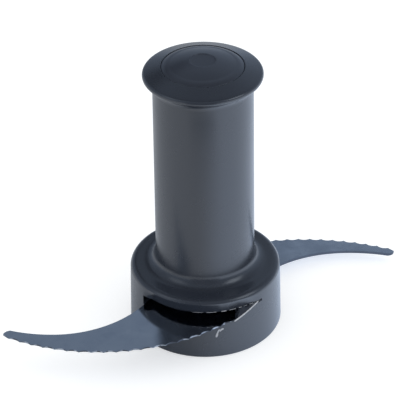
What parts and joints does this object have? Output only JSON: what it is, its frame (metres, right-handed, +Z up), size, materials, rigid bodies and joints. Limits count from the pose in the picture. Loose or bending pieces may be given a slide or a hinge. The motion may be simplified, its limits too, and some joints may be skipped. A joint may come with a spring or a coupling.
{
  "type": "food processor cutter",
  "caption": "Cutter for a food processor bowl: a tall moulded hub with curved serrated steel blades set at different heights, turning on a central spindle.",
  "frame": {"origin": "on the axis of rotation, in the plane of the drum's foot", "axes": "+Z up the axis of rotation, towards the cap; the upper blade reaches out along -X, and the cutter turns so that its serrated edges lead"},
  "size_m": [0.164, 0.0936, 0.122],
  "materials": {
    "hub_plastic": "satin moulded, dark blue-grey",
    "cap_plastic": "satin moulded, dark blue-grey",
    "blade_steel": "polished sheet with ground edges",
    "sleeve_plastic": "natural moulded",
    "bush_plastic": "fine matt"
  },
  "bodies": {
    "root": {"hub_body": "hub_plastic", "top_cap": "cap_plastic", "upper_blade": "blade_steel", "lower_blade": "blade_steel", "inner_sleeve": "sleeve_plastic", "drive_bush": "bush_plastic"}
  },
  "joints": []
}
